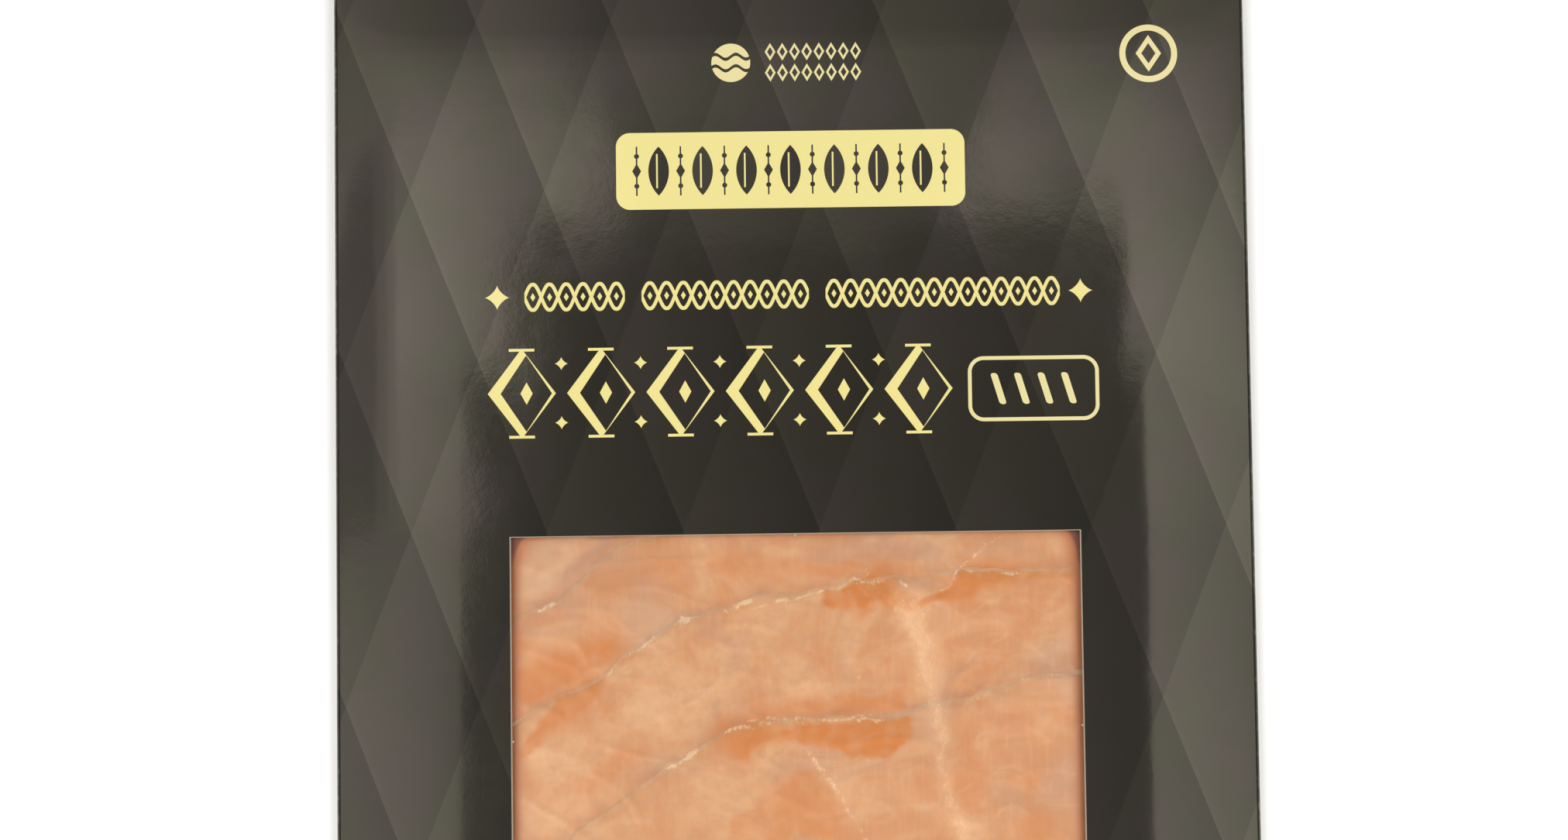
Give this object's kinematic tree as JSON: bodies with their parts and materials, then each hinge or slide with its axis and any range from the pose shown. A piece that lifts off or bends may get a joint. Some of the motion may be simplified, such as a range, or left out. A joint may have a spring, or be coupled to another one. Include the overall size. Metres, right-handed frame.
{
  "type": "pack of smoked salmon",
  "caption": "Flat folded card sleeve with a rectangular die-cut window over a clear vacuum pouch of shingled smoked salmon slices.",
  "frame": {"origin": "middle of the flat back that the pack rests on", "axes": "+X across the pack to the right, +Y towards its head, +Z out of the printed face"},
  "size_m": [0.165, 0.254, 0.0081],
  "materials": {
    "printed_card": "glossy laminated board, brown-black with pale yellow print",
    "clear_film": "clear glossy vacuum film",
    "salmon": "moist pink-orange fish flesh with pale fat lines"
  },
  "bodies": {
    "root": {"card_sleeve": "printed_card", "vacuum_pouch": "clear_film", "salmon_slice_1": "salmon", "salmon_slice_2": "salmon", "salmon_slice_3": "salmon", "salmon_slice_4": "salmon", "salmon_slice_5": "salmon", "salmon_slice_6": "salmon"}
  },
  "joints": []
}
